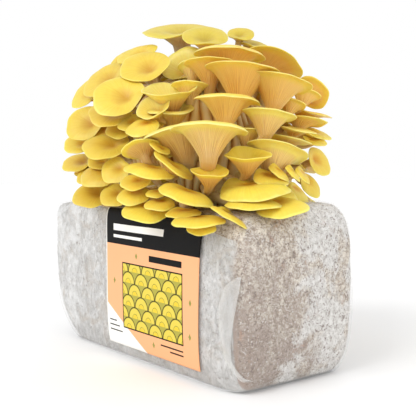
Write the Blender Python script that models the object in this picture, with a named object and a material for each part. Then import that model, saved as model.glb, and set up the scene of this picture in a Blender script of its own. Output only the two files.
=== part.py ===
"""Golden oyster mushroom grow kit.

A loaf of sawdust grown through with mycelium lies on its side in a clear film
bag. A paper label is on the bag's long face, and a dome of mushrooms has grown
out of an opening in the top. The origin is the middle of the flat underside,
X runs along the loaf, the label faces -Y and +Z is up. Metres.
"""

import math
from collections import namedtuple

import bmesh
import bpy
from mathutils import Vector
from mathutils.bvhtree import BVHTree

# The bagged loaf, from what a 3 kg fruiting block measures.
LOAF_LENGTH = 0.2842
LOAF_WIDTH = 0.124
LOAF_HEIGHT = 0.1293
LOAF_WAIST = 0.0785       # height of the fullest section
CROWN = 0.0116            # how far the top swells towards the +X end, at the back
TUCK = 0.024              # how far the lower edge at the -X end is drawn in
UNDERCUT = 0.0061         # how far the rounded underside would reach below the table
END_POWER = 13.6          # how square the loaf is: along its length, across it,
SIDE_POWER = 11.3         # upwards, more so at the label's edge, and downwards
OVER_POWER = 2.9
EDGE_POWER = 9.0
UNDER_POWER = 3.5
FILM = 0.0010             # film with its wrinkles
GAP = 0.0003              # clearance between block, film and label
CLEARANCE = 0.0008        # clearance that a mushroom is trimmed to
LOAF_CUTS = 4

# After a cut, points closer than the first value are made one, and faces that
# meet at less than the second (rad) are too: the first pair that works is used.
TIDY_STEPS = [(0.0010, 0.015), (0.0008, 0.01), (0.0005, 0.01), (0.0002, 0.01), (0.00001, 0.001), (0.0, 0.0)]
TOUCH = 0.0000002

# The label on the long face: its two ends, its foot and its top edge.
LABEL_X = (-0.0337, 0.0967)
LABEL_Z = (0.0115, 0.1268)
LABEL_THICK = 0.0006
LABEL_WRAP = 0.030        # how far round the top edge it may curl

# The opening in the film and the mass of joined stems that fills it.
CLUSTER_ACROSS = 0.008    # the dome's axis, right of the loaf's middle
OPENING = (0.047, 0.040)
BASE_RINGS = [            # height, half width across, half width towards
    (0.1188, 0.040, 0.034),
    (0.1328, 0.048, 0.042),
    (0.152, 0.064, 0.056),
    (0.178, 0.070, 0.062),
    (0.206, 0.060, 0.052),
    (0.230, 0.038, 0.034),
]
BASE_TOP = 0.242
BASE_SIDES = 10
BASE_HEART = 0.1588       # the stems fan out from this height

# The photograph's viewpoint. A cap is placed by where it is seen, in pixels,
# and by how far it stands towards the viewer from the loaf's middle.
SIGHT_CENTRE = 208
SIGHT_HORIZON = 147
SIGHT_FOCAL = 811
EYE_DISTANCE = 0.700
EYE_HEIGHT = 0.1778
EYE_ACROSS = 0.0163
RIGHT = Vector((0.622, 0.783, 0.0))
TOWARD = Vector((0.783, -0.622, 0.0))
UP = Vector((0.0, 0.0, 1.0))

# How a cap is formed, as shares of its radius: how deep its throat sinks and
# how suddenly, how far the margin rolls down, how long the gills run down to
# the stem, how far the stem stands to the side of the middle, and how much
# shorter the cap is on the side that faces the cluster's heart.
Form = namedtuple("Form", "depth steep roll flare aside short rising")
FORMS = {
    "plate": Form(0.16, 2.6, 0.12, 0.50, 0.28, 0.15, 0.45),
    "pillow": Form(0.10, 2.2, 0.32, 0.42, 0.40, 0.25, 0.45),
    "shelf": Form(0.08, 2.2, 0.22, 0.20, 0.55, 0.30, 0.12),
    "fan": Form(0.78, 1.25, 0.30, 0.55, 0.05, 0.50, 0.45),
    "lip": Form(0.78, 1.25, 0.44, 0.55, 0.05, 0.50, 0.45),
    "funnel": Form(0.75, 1.3, 0.06, 0.45, 0.08, 0.15, 0.45),
}
NECK = 0.24               # neck radius as a share of the cap's
HEART_REACH = (0.056, 0.050, 0.052)  # half sizes across, towards and up of an oval in the base
FOOT_DEPTH = 0.60         # where a stem starts, as a share of the way out to that oval
FOOT_LOWEST = 0.142       # no stem starts lower than this
STEM_RISE = 0.010         # how much lower than the necks the stems start
FORK = 0.70               # how far up the first stem the others of its node branch off
RIM_THICK = 0.0013
FLESH_FADE = 2.3          # how fast the flesh thins from neck to rim
ROLL_POWER = 4.5          # how late towards the rim the roll starts
SMALL_CAP = 0.014         # caps of a smaller radius than this have five sides, not six
LOBES = 0.026             # waves in the outline, as a share of the radius
RUFFLES = [(2, 0.04), (3, 0.03), (4, 0.02)]  # waves up and down: how many, how high

# node, seen at u and v (px), towards (mm), radius (mm), lean (deg from
# upright), bearing (deg: 0 leans to the viewer, 90 to the right), form
SEEN = [
    # young caps low on the right, which the large ones leave room for
    ("young_right_3", 280, 170, 92, 9.5, 36, 70, "pillow"),
    ("young_right_3", 294, 171, 82, 8.0, 44, 75, "pillow"),
    ("young_right_3", 304, 173, 72, 8.5, 46, 70, "pillow"),
    # the large caps in the middle, seen from below their rims
    ("mushroom_centre_1", 209, 121, 95, 28.5, 15, 178, "lip"),
    ("mushroom_centre_2", 178, 124, 64, 29.0, 20, -140, "lip"),
    ("mushroom_centre_3", 266, 110, 75, 21.0, 14, 165, "fan"),
    ("mushroom_centre_4", 273, 147, 66, 24.5, 25, 165, "fan"),
    ("mushroom_centre_5", 289, 138, 56, 17.5, 12, 130, "plate"),
    ("mushroom_centre_5", 297, 128, 44, 15.0, 8, 60, "plate"),
    ("mushroom_middle_1", 170, 88, 56, 22.0, 14, -10, "funnel"),
    ("mushroom_middle_1", 153, 106, 66, 14.0, 42, -30, "funnel"),
    ("mushroom_middle_2", 182, 67, 24, 20.0, 62, -24, "fan"),
    ("mushroom_middle_2", 196, 68, 26, 14.0, 30, 160, "fan"),
    # the crest
    ("mushroom_top_1", 180, 30, -14, 31.5, 20, -9, "plate"),
    ("mushroom_top_2", 205, 37, 22, 19.5, 33, 0, "plate"),
    ("mushroom_top_3", 240, 35, -8, 12.0, 35, 0, "plate"),
    ("mushroom_top_3", 252, 44, -14, 14.0, 24, 30, "plate"),
    # the upper right, gills outwards
    ("mushroom_right_1", 225, 48, 26, 29.0, 12, 180, "lip"),
    ("mushroom_right_2", 270, 64, -14, 27.5, 30, 150, "plate"),
    ("mushroom_right_3", 209, 61, 41, 21.0, 14, -170, "fan"),
    ("mushroom_right_4", 240, 66, 53, 30.0, 13, 170, "fan"),
    ("mushroom_right_5", 275, 78, 50, 26.5, 17, 160, "fan"),
    ("mushroom_right_6", 226, 93, 73, 25.0, 13, 175, "lip"),
    ("mushroom_right_7", 311, 93, -12, 16.0, 60, 150, "plate"),
    ("mushroom_right_7", 302, 92, 12, 13.5, 22, 165, "fan"),
    ("mushroom_right_7", 290, 101, 34, 12.0, 24, 150, "fan"),
    ("mushroom_right_8", 309, 112, 0, 18.5, 8, 100, "plate"),
    ("mushroom_right_8", 304, 119, 22, 18.5, 14, 150, "plate"),
    ("young_right_1", 315, 131, 14, 14.0, 24, 50, "plate"),
    ("young_right_1", 314, 139, 26, 10.5, 24, 30, "plate"),
    ("young_right_2", 319, 160, 16, 14.0, 62, 45, "plate"),
    ("young_right_2", 311, 182, 26, 12.5, 52, 45, "pillow"),
    # the front, low funnels and drooping caps
    ("mushroom_front_1", 247, 152, 96, 18.0, 12, -5, "funnel"),
    ("mushroom_front_2", 210, 169, 106, 14.5, 14, 10, "funnel"),
    ("mushroom_front_3", 175, 164, 90, 17.5, 36, 80, "plate"),
    ("mushroom_front_3", 161, 147, 84, 8.5, 34, 62, "plate"),
    ("mushroom_front_4", 152, 166, 84, 19.3, 12, 60, "pillow"),
    ("mushroom_front_5", 142, 148, 72, 15.5, 34, -165, "plate"),
    ("mushroom_front_5", 143, 124, 72, 13.5, 24, -20, "pillow"),
    ("mushroom_front_6", 188, 190, 106, 20.3, 19, 76, "pillow"),
    ("mushroom_front_6", 198, 217, 126, 18.7, 4, -20, "shelf"),
    ("mushroom_front_6", 183, 210, 108, 13.0, 6, -20, "shelf"),
    ("mushroom_front_6", 201, 225, 127, 10.5, 22, 0, "shelf"),
    ("mushroom_front_7", 252, 183, 102, 26.0, 9, -35, "pillow"),
    ("mushroom_front_7", 270, 175, 94, 13.5, 20, 20, "pillow"),
    ("mushroom_front_10", 251, 199, 114, 20.5, 5, 0, "shelf"),
    ("mushroom_front_10", 230, 213, 128, 15.2, 29, 90, "shelf"),
    ("mushroom_front_9", 280, 203, 112, 19.5, 16, -25, "shelf"),
    ("mushroom_front_12", 147, 207, 84, 18.0, 20, 5, "shelf"),
    ("mushroom_front_13", 160, 201, 93, 11.5, 12, 0, "pillow"),
    ("mushroom_front_13", 156, 191, 88, 7.5, 14, 0, "pillow"),
    ("mushroom_front_14", 136, 180, 78, 12.0, 28, -15, "plate"),
    ("mushroom_front_8", 134, 192, 76, 13.0, 24, -10, "pillow"),
    # the left side, tops outwards
    ("mushroom_left_1", 138, 54, 4, 18.0, 34, -25, "plate"),
    ("mushroom_left_1", 121, 60, -6, 11.0, 48, -44, "plate"),
    ("mushroom_left_2", 146, 66, 30, 21.0, 44, -8, "plate"),
    ("mushroom_left_3", 106, 78, 6, 22.0, 48, -38, "plate"),
    ("mushroom_left_3", 88, 91, -10, 18.5, 54, -46, "plate"),
    ("mushroom_left_4", 120, 95, 48, 21.5, 52, -8, "plate"),
    ("mushroom_left_5", 114, 110, 36, 20.0, 38, -8, "plate"),
    ("mushroom_left_6", 87, 122, 14, 18.0, 56, -16, "plate"),
    ("mushroom_left_6", 80, 142, 2, 13.5, 40, -10, "plate"),
    ("mushroom_left_7", 107, 144, 40, 19.5, 30, -5, "plate"),
    ("mushroom_left_8", 79, 161, -4, 14.5, 30, -14, "plate"),
    ("mushroom_left_8", 100, 161, 24, 10.0, 34, 10, "plate"),
    ("mushroom_left_8", 93, 174, 12, 14.0, 30, -12, "plate"),
    ("mushroom_left_9", 102, 170, 30, 18.0, 28, -8, "pillow"),
    ("mushroom_left_9", 116, 169, 54, 12.5, 54, -15, "plate"),
    ("mushroom_left_10", 93, 193, 14, 17.5, 34, -5, "plate"),
    ("mushroom_left_10", 115, 194, 50, 12.5, 40, -5, "plate"),
]

# node, turn (deg round the dome from the viewer's side, 90 on the right),
# height and distance out from the dome's axis (mm), radius (mm), lean (deg)
BEHIND = [
    ("mushroom_back_1", 104, 134, 97, 22.0, 30),
    ("mushroom_back_1", 129, 148, 88, 23.0, 34),
    ("mushroom_back_2", 154, 135, 96, 24.0, 32),
    ("mushroom_back_2", 181, 148, 87, 23.0, 34),
    ("mushroom_back_3", 207, 134, 97, 23.0, 32),
    ("mushroom_back_3", 233, 147, 90, 23.0, 34),
    ("mushroom_back_4", 112, 171, 92, 24.0, 38),
    ("mushroom_back_4", 141, 184, 82, 26.0, 38),
    ("mushroom_back_5", 169, 172, 93, 26.0, 42),
    ("mushroom_back_5", 197, 185, 82, 26.0, 36),
    ("mushroom_back_6", 225, 172, 93, 26.0, 42),
    ("mushroom_back_6", 251, 183, 90, 21.0, 36),
    ("mushroom_back_7", 122, 214, 70, 27.0, 36),
    ("mushroom_back_7", 157, 220, 64, 28.0, 34),
    ("mushroom_back_8", 193, 212, 71, 28.0, 38),
    ("mushroom_back_8", 228, 219, 70, 26.0, 34),
    ("mushroom_back_9", 148, 252, 38, 26.0, 22),
    ("mushroom_back_9", 194, 247, 45, 26.0, 28),
    ("mushroom_back_10", 237, 243, 56, 24.0, 30),
    ("mushroom_back_11", 97, 195, 82, 17.0, 44),
]

MM = 0.001
Mushroom = namedtuple("Mushroom", "node seed centre axis radius form")


def seen_point(u, v, toward):
    """Where a point seen at pixel u, v lies, at a given distance towards the viewer."""
    reach = (EYE_DISTANCE - toward) / SIGHT_FOCAL
    across = (u - SIGHT_CENTRE) * reach + EYE_ACROSS
    up = EYE_HEIGHT - (v - SIGHT_HORIZON) * reach
    return across * RIGHT + toward * TOWARD + up * UP


def leaning(lean, bearing):
    """Unit vector that leans from upright by lean degrees towards bearing."""
    tilt = math.radians(lean)
    turn = math.radians(bearing)
    flat = math.cos(turn) * TOWARD + math.sin(turn) * RIGHT
    return (math.cos(tilt) * UP + math.sin(tilt) * flat).normalized()


def list_mushrooms():
    """Both tables as one list of mushrooms, numbered in the order of growth."""
    grown = []
    for node, u, v, toward, radius, lean, bearing, form in SEEN:
        centre = seen_point(u, v, toward * MM)
        axis = leaning(lean, bearing)
        grown.append(Mushroom(node, len(grown), centre, axis, radius * MM, FORMS[form]))
    for node, turn, height, out, radius, lean in BEHIND:
        angle = math.radians(turn)
        flat = math.cos(angle) * TOWARD + math.sin(angle) * RIGHT
        centre = CLUSTER_ACROSS * RIGHT + out * MM * flat + height * MM * UP
        axis = leaning(lean, turn)
        grown.append(Mushroom(node, len(grown), centre, axis, radius * MM, FORMS["plate"]))
    return grown


def material(name, colour, roughness, metallic=0.0):
    """A Principled material with one colour."""
    made = bpy.data.materials.new(name)
    made.use_nodes = True
    shader = made.node_tree.nodes["Principled BSDF"]
    shader.inputs["Base Color"].default_value = (*colour, 1.0)
    shader.inputs["Roughness"].default_value = roughness
    shader.inputs["Metallic"].default_value = metallic
    return made


def new_object(name, mesh, finish=None):
    """An object in the scene that holds the mesh."""
    made = bpy.data.objects.new(name, mesh)
    bpy.context.scene.collection.objects.link(made)
    if finish:
        mesh.materials.clear()
        mesh.materials.append(finish)
    return made


def loaf_mesh(name, inset):
    """The loaf's surface, drawn in by inset: a cube pushed out to a superellipsoid.

    A point of the cube is moved along its own direction until
    |x|^13.6 + |y|^11.3 + |z|^n is 1. Below the waist n is 3.5. Above it n is 2.9 and
    grows by 9 towards the label's side, with the square of the slope -y / z. That
    fades out from -0.15 to 0.25 of the half length, where the mushrooms lean out.
    """
    half_length = LOAF_LENGTH / 2 - inset
    half_width = LOAF_WIDTH / 2 - inset
    above = LOAF_HEIGHT - LOAF_WAIST - inset
    below = LOAF_WAIST - inset
    bm = bmesh.new()
    bmesh.ops.create_cube(bm, size=2.0)
    bmesh.ops.subdivide_edges(bm, edges=bm.edges[:], cuts=LOAF_CUTS, use_grid_fill=True)
    for vertex in bm.verts:
        x, y, z = (math.sin(c * math.pi / 2) for c in vertex.co)
        slope = max(0.0, min(1.0, -y / max(abs(z), 0.000001)))
        fade = max(0.0, min(1.0, (0.25 - x / max(abs(y), abs(z), 0.000001)) / 0.4))
        square = EDGE_POWER * slope ** 2 * fade ** 2 * (3 - 2 * fade)
        power = OVER_POWER + square if z > 0 else UNDER_POWER
        low, high = 0.3, 1.0
        for _ in range(40):
            middle = (low + high) / 2
            full = abs(middle * x) ** END_POWER + abs(middle * y) ** SIDE_POWER
            full += abs(middle * z) ** power
            low, high = (middle, high) if full < 1 else (low, middle)
        x, y, z = low * x, low * y, low * z
        if z > 0:
            swell = 0.5 + 0.5 * math.sin(math.pi / 2 * max(-1.0, min(1.0, (x - 0.65) / 0.35)))
            swell *= 0.65 + 0.35 * y
            place = Vector((x * half_length, y * half_width, z * (above + CROWN * swell)))
        else:
            # deeper than the table, so that the underside is cut flat
            place = Vector((x * half_length, y * half_width, z * (below + UNDERCUT)))
        place.z = max(place.z + LOAF_WAIST, inset)
        if x < 0 and z < 0:
            place.x += TUCK * z * z * min(1.0, -x * 1.2) ** 6
        vertex.co = place
    bmesh.ops.triangulate(bm, faces=bm.faces[:])
    bmesh.ops.recalc_face_normals(bm, faces=bm.faces[:])
    mesh = bpy.data.meshes.new(name)
    bm.to_mesh(mesh)
    bm.free()
    return mesh


def rings_mesh(name, rings, foot, top, rim=None):
    """A closed skin over rings of points, with a single point at either end.

    Bands from the ring numbered rim on are split along the other diagonal, so that
    a cap's top folds where the gill side under it does, and they can't cross.
    """
    sides = len(rings[0])
    points = [tuple(foot)] + [tuple(p) for ring in rings for p in ring] + [tuple(top)]
    faces = []
    for side in range(sides):
        after = (side + 1) % sides
        faces.append((0, 1 + after, 1 + side))
        for row in range(len(rings) - 1):
            a = 1 + row * sides
            b = a + sides
            if rim is None or row < rim:
                faces.append((a + side, a + after, b + side))
                faces.append((a + after, b + after, b + side))
            else:
                faces.append((a + side, a + after, b + after))
                faces.append((a + side, b + after, b + side))
        last = 1 + (len(rings) - 1) * sides
        faces.append((last + side, last + after, len(points) - 1))
    mesh = bpy.data.meshes.new(name)
    mesh.from_pydata(points, [], faces)
    return mesh


def base_mesh():
    """The joined stems: lumpy oval rings, wider above the opening than in it."""
    rings = []
    for row, (height, across, toward) in enumerate(BASE_RINGS):
        ring = []
        for side in range(BASE_SIDES):
            angle = math.tau * side / BASE_SIDES
            lump = 1 + 0.05 * math.cos(5 * angle + 1.7 * row)
            flat = across * lump * math.cos(angle) * RIGHT - toward * lump * math.sin(angle) * TOWARD
            ring.append(CLUSTER_ACROSS * RIGHT + flat + height * UP)
        rings.append(ring)
    foot = CLUSTER_ACROSS * RIGHT + BASE_RINGS[0][0] * UP
    return rings_mesh("stem_base", rings, foot, CLUSTER_ACROSS * RIGHT + BASE_TOP * UP)


def wave(seed, term):
    """A phase angle that differs with each mushroom and each term."""
    return (seed * 12.9898 + term * 78.233) % math.tau


def cap_sides(m):
    """Two directions in the cap's plane: towards the cluster's heart, and across that."""
    inward = CLUSTER_ACROSS * RIGHT + BASE_HEART * UP - m.centre
    inward = (inward - m.axis * inward.dot(m.axis)).normalized()
    return inward, m.axis.cross(inward)


def cap_place(m, share, angle, upper):
    """A point of the cap, share of the way from throat to rim, on its top or its gills.

    In the cap's own plane the outline is a circle with a few low waves. Height
    above that plane is the throat's sink, the rim's roll and the rim's waves,
    and the gill side lies lower by the flesh, which thins towards the rim.
    """
    form = m.form
    inward, beside = cap_sides(m)
    lobes = sum(LOBES * math.cos(k * angle + wave(m.seed, k)) for k in (2, 3, 5))
    ruffle = sum(w * math.cos(k * angle + wave(m.seed, k + 9)) for k, w in RUFFLES)
    inner = (0.5 - 0.5 * math.cos(angle)) ** 2
    outline = m.radius * (1 + lobes * share) * (1 - form.short * inner) / (1 - form.short / 4)
    soft = 0.12
    eased = (math.hypot(share, soft) - soft) / (math.hypot(1, soft) - soft)
    height = -form.depth * (1 - eased) ** form.steep
    height += ruffle * share ** 2.5 - form.roll * (1 - inner) * share ** ROLL_POWER
    flat = inward * (form.aside * (1 - share) * m.radius - share * math.cos(angle) * outline)
    flat += beside * (-share * math.sin(angle) * outline)
    if not upper:
        height -= form.flare * (1 - share) ** FLESH_FADE
        height -= RIM_THICK * (1 - share) / m.radius
    return m.centre + flat + m.axis * height * m.radius


def stem_line(m, foot, t):
    """Middle and direction of the stem at t, 0 at the foot and 1 at the neck: a Bezier curve."""
    neck = sum((cap_place(m, NECK, math.tau * s / 8, False) for s in range(8)), Vector()) / 8
    reach = neck - foot
    outward = reach.normalized()
    upright = min(0.95, m.form.rising * (1 + 1.1 * max(0.0, 0.3 - m.axis.dot(outward))))
    arriving = (upright * m.axis + (1 - upright) * outward).normalized()
    handles = (foot, foot + outward * reach.length * 0.35,
               neck - arriving * reach.length * 0.3, neck)
    weights = ((1 - t) ** 3, 3 * t * (1 - t) ** 2, 3 * t * t * (1 - t), t ** 3)
    middle = sum((w * h for w, h in zip(weights, handles)), Vector())
    return middle, (outward * (1 - t) + arriving * t).normalized()


def mushroom_mesh(m, foot):
    """One mushroom: stem rings from the foot, gill side, rim, top and throat."""
    sides = 6 if m.radius > SMALL_CAP else 5
    angles = [math.tau * s / sides for s in range(sides)]
    beside = cap_sides(m)[1]
    rings = []
    bent = m.axis.dot(m.centre - foot) < 0.3 * (m.centre - foot).length
    for t in (0.0, 0.55) if bent else (0.0,):
        middle, along = stem_line(m, foot, t)
        cross = -(beside - along * beside.dot(along)).normalized()
        spoke = cross.cross(along)
        wide = NECK * m.radius * (1 - 0.3 * math.sin(math.pi * t))
        rings.append([middle + wide * (math.cos(a) * spoke + math.sin(a) * cross) for a in angles])
    rings.append([cap_place(m, NECK, a, False) for a in angles])
    rings.append([cap_place(m, 0.60, a, False) for a in angles])
    rings.append([cap_place(m, 1.0, a, True) for a in angles])
    rim = len(rings) - 1
    rings.append([cap_place(m, 0.66, a, True) for a in angles])
    throat = cap_place(m, 0.0, 0.0, True)
    return rings_mesh(m.node, rings, foot, throat, rim)


def stem_foot(necks):
    """Where the stems of one node start: inside the base, on the line from its axis.

    That line leaves the axis a little lower than the necks, so that the stems rise.
    """
    neck = sum(necks, Vector()) / len(necks)
    level = max(FOOT_LOWEST, min(BASE_HEART, neck.z - STEM_RISE))
    heart = CLUSTER_ACROSS * RIGHT + level * UP
    way = neck - heart
    shares = [part / half for part, half in zip((way.dot(RIGHT), way.dot(TOWARD), way.z), HEART_REACH)]
    return heart + way * (FOOT_DEPTH / math.hypot(*shares))


def result_of(obj, cutter, operation):
    """The object's mesh after one Boolean with the cutter, modifier applied.

    The Manifold solver is used, because the Exact one leaves open edges where a
    thin rim is cut along another cap's curved skin.
    """
    modifier = obj.modifiers.new("trim", "BOOLEAN")
    modifier.operation = operation
    modifier.solver = "MANIFOLD"
    modifier.object = cutter
    bpy.context.view_layer.update()
    evaluated = obj.evaluated_get(bpy.context.evaluated_depsgraph_get())
    mesh = bpy.data.meshes.new_from_object(evaluated)
    obj.modifiers.remove(modifier)
    return mesh


def tidy(mesh):
    """The mesh with its near points joined as widely as leaves it one closed skin."""
    for weld, flat in TIDY_STEPS:
        tidied = joined(mesh, weld, flat)
        if closed(tidied):
            break
    return tidied


def joined(mesh, weld, flat):
    """A copy with near points made one, only the largest body, and all triangles."""
    bm = bmesh.new()
    bm.from_mesh(mesh)
    bmesh.ops.remove_doubles(bm, verts=bm.verts[:], dist=weld)
    bmesh.ops.dissolve_degenerate(bm, edges=bm.edges[:], dist=weld / 2)
    bodies = sorted(islands(bm), key=spread, reverse=True)
    for body in bodies[1:]:
        bmesh.ops.delete(bm, geom=list(body), context="VERTS")
    if flat:
        bmesh.ops.dissolve_limit(bm, angle_limit=flat, verts=bm.verts[:], edges=bm.edges[:])
    bmesh.ops.triangulate(bm, faces=bm.faces[:])
    copy = mesh.copy()
    bm.to_mesh(copy)
    bm.free()
    return copy


def islands(bm):
    """The sets of vertices that hang together."""
    left = set(bm.verts)
    found = []
    while left:
        stack = [left.pop()]
        body = set(stack)
        while stack:
            for edge in stack.pop().link_edges:
                for vertex in edge.verts:
                    if vertex in left:
                        left.discard(vertex)
                        body.add(vertex)
                        stack.append(vertex)
        found.append(body)
    return found


def spread(body):
    """The diagonal of the box round a set of vertices."""
    low = [min(v.co[axis] for v in body) for axis in range(3)]
    high = [max(v.co[axis] for v in body) for axis in range(3)]
    return math.dist(low, high)


def crosses_itself(mesh):
    """Whether any face cuts through another that it shares no point with."""
    corners = [set(p.vertices) for p in mesh.polygons]
    faces = tree(mesh)
    return any(not corners[a] & corners[b] for a, b in faces.overlap(faces))


def closed(mesh):
    """Whether the mesh is one skin, with two faces at each edge, that never meets itself."""
    if crosses_itself(mesh):
        return False
    bm = bmesh.new()
    bm.from_mesh(mesh)
    bmesh.ops.remove_doubles(bm, verts=bm.verts[:], dist=TOUCH)
    whole = len(bm.faces) > 3 and all(edge.is_contiguous for edge in bm.edges)
    whole = whole and all(vertex.is_manifold for vertex in bm.verts)
    bm.free()
    return whole


def grown_copy(mesh, by):
    """The mesh with each point moved out along its normal."""
    bm = bmesh.new()
    bm.from_mesh(mesh)
    bm.normal_update()
    moves = [(v, v.normal * by * min(v.calc_shell_factor(), 2.0)) for v in bm.verts]
    for vertex, move in moves:
        vertex.co += move
    copy = bpy.data.meshes.new(mesh.name + "_cutter")
    bm.to_mesh(copy)
    bm.free()
    return copy


def tree(mesh):
    """A search tree over the mesh's faces."""
    points = [v.co for v in mesh.vertices]
    return BVHTree.FromPolygons(points, [tuple(p.vertices) for p in mesh.polygons])


class Neighbours:
    """Every piece built so far, grown by the gap, to trim the next one with."""

    def __init__(self):
        self.cutters = []

    def add(self, mesh, by=CLEARANCE):
        cutter = new_object(mesh.name + "_cutter", grown_copy(mesh, by))
        cutter.hide_render = True
        cutter.display_type = "WIRE"
        self.cutters.append((cutter, tree(cutter.data)))

    def trim(self, obj):
        """Cut away from the object whatever reaches into a neighbour."""
        for cutter, cutter_tree in self.cutters:
            if not tree(obj.data).overlap(cutter_tree):
                continue
            trimmed = tidy(result_of(obj, cutter, "DIFFERENCE"))
            obj.data = trimmed

    def clear(self):
        for cutter, _ in self.cutters:
            bpy.data.objects.remove(cutter)


def build_loaf(near):
    """The block, the film round it with its opening, and the label."""
    mycelium = material("mycelium", (0.62, 0.57, 0.50), 0.85)
    film = material("film", (0.80, 0.79, 0.77), 0.25)
    paper = material("label_paper", (0.90, 0.50, 0.25), 0.45)

    block_mesh = loaf_mesh("substrate_block", FILM + GAP)
    new_object("substrate_block", block_mesh, mycelium)
    near.add(block_mesh, GAP)

    bag = new_object("bag", loaf_mesh("bag", 0.0), film)
    hollow = new_object("bag_hollow", loaf_mesh("bag_hollow", FILM))
    bag.data = result_of(bag, hollow, "DIFFERENCE")
    angles = [math.tau * s / BASE_SIDES for s in range(BASE_SIDES)]
    outline = [OPENING[0] * math.cos(a) * RIGHT - OPENING[1] * math.sin(a) * TOWARD
               + CLUSTER_ACROSS * RIGHT for a in angles]
    levels = [[p + h * UP for p in outline] for h in (LOAF_WAIST, LOAF_HEIGHT * 1.3)]
    middles = [CLUSTER_ACROSS * RIGHT + h * UP for h in (LOAF_WAIST, LOAF_HEIGHT * 1.3)]
    opening = new_object("bag_opening", rings_mesh("bag_opening", levels, *middles))
    bag.data = tidy(result_of(bag, opening, "DIFFERENCE"))
    bag.name = "bag"

    label = new_object("label", loaf_mesh("label", -GAP - LABEL_THICK))
    backing = new_object("label_backing", loaf_mesh("label_backing", -GAP))
    label.data = result_of(label, backing, "DIFFERENCE")
    corner = Vector((LABEL_X[0], -LOAF_WIDTH, LABEL_Z[0]))
    far = Vector((LABEL_X[1], -LOAF_WIDTH / 2 + LABEL_WRAP, LABEL_Z[1]))
    bm = bmesh.new()
    bmesh.ops.create_cube(bm, size=1.0)
    for vertex in bm.verts:
        share = vertex.co + Vector((0.5, 0.5, 0.5))
        vertex.co = corner + Vector(s * (b - a) for s, a, b in zip(share, corner, far))
    sheet = bpy.data.meshes.new("label_sheet")
    bm.to_mesh(sheet)
    bm.free()
    cut = new_object("label_sheet", sheet)
    label.data = tidy(result_of(label, cut, "INTERSECT"))
    label.data.materials.clear()
    label.data.materials.append(paper)

    for helper in (hollow, opening, backing, cut):
        bpy.data.objects.remove(helper)
    near.add(bag.data)
    near.add(label.data)


def build_cluster(near):
    """The base of joined stems and every mushroom, each trimmed by those before it."""
    stem_flesh = material("stem_flesh", (0.86, 0.72, 0.45), 0.6)
    cap_flesh = material("cap_flesh", (0.85, 0.62, 0.13), 0.5)

    base = new_object("stem_base", base_mesh(), stem_flesh)
    near.trim(base)
    near.add(base.data)

    nodes = {}
    for m in list_mushrooms():
        nodes.setdefault(m.node, []).append(m)
    for node, members in nodes.items():
        foot = stem_foot([m.centre - m.axis * m.radius * 0.5 for m in members])
        piece = new_object(node, mushroom_mesh(members[0], foot), cap_flesh)
        for member in members[1:]:
            fork = stem_line(members[0], foot, FORK)[0]
            second = new_object("second", mushroom_mesh(member, fork))
            piece.data = tidy(result_of(piece, second, "UNION"))
            bpy.data.objects.remove(second)
        near.trim(piece)
        piece.data.name = node
        near.add(piece.data)


def main():
    for old in list(bpy.data.objects):
        bpy.data.objects.remove(old)
    near = Neighbours()
    build_loaf(near)
    build_cluster(near)
    near.clear()


main()
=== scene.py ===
"""Oyster mushroom grow kit: a film-bagged block of mycelium on its side, with a label on its
long face and a dome of golden oyster mushrooms that has grown out of an opening on top."""

import math
from collections import namedtuple

import bpy
import numpy as np
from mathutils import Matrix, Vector


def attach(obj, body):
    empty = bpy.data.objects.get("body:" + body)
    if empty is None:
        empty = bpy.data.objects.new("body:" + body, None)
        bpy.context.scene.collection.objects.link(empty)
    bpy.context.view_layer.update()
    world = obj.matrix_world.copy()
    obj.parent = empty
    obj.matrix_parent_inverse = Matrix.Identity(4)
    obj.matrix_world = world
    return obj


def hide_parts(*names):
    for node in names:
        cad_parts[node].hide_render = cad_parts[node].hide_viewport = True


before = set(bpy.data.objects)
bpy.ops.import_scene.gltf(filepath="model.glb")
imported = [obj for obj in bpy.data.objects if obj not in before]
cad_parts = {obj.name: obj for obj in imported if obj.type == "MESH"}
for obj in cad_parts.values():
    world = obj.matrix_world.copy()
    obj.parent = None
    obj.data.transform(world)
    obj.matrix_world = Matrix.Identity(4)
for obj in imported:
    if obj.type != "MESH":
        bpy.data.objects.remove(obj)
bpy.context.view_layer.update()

# Studio. The camera stands where the photograph was taken.
EYE_DISTANCE = 0.700
EYE_HEIGHT = 0.1778
EYE_ACROSS = 0.0163
SIGHT_CENTRE = 208
SIGHT_HORIZON = 147
SIGHT_FOCAL = 811
SURROUND_LIGHT = 0.86
KEY_LIGHT = 1.25
SIDE_LIGHT = 0.65
LIGHT_SPREAD = 35
FLOOR_REACH = 3.0
RIGHT = np.array([0.622, 0.783, 0.0])
TOWARD = np.array([0.783, -0.622, 0.0])
UP = np.array([0.0, 0.0, 1.0])


def look_from(name, data, place, target):
    """A lamp or camera at a place, turned so that its -Z axis points at the target."""
    made = bpy.data.objects.new(name, data)
    bpy.context.scene.collection.objects.link(made)
    made.location = place
    way = np.asarray(target) - np.asarray(place)
    made.rotation_euler = Vector(way).to_track_quat("-Z", "Y").to_euler()
    return made


lens = bpy.data.cameras.new("camera")
lens.sensor_width = 36
lens.lens = 36 * SIGHT_FOCAL / (2 * SIGHT_CENTRE)
eye = EYE_DISTANCE * TOWARD + EYE_ACROSS * RIGHT + EYE_HEIGHT * UP
drop = (SIGHT_CENTRE - SIGHT_HORIZON) / SIGHT_FOCAL
camera = look_from("camera", lens, eye, eye - TOWARD - drop * UP)
bpy.context.scene.camera = camera


def wide_light(name, strength, place):
    """A soft light from one side of the sky, even over the whole scene."""
    light = bpy.data.lights.new(name, "SUN")
    light.energy = strength
    light.angle = math.radians(LIGHT_SPREAD)
    return look_from(name, light, place, (0, 0, 0))


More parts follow.
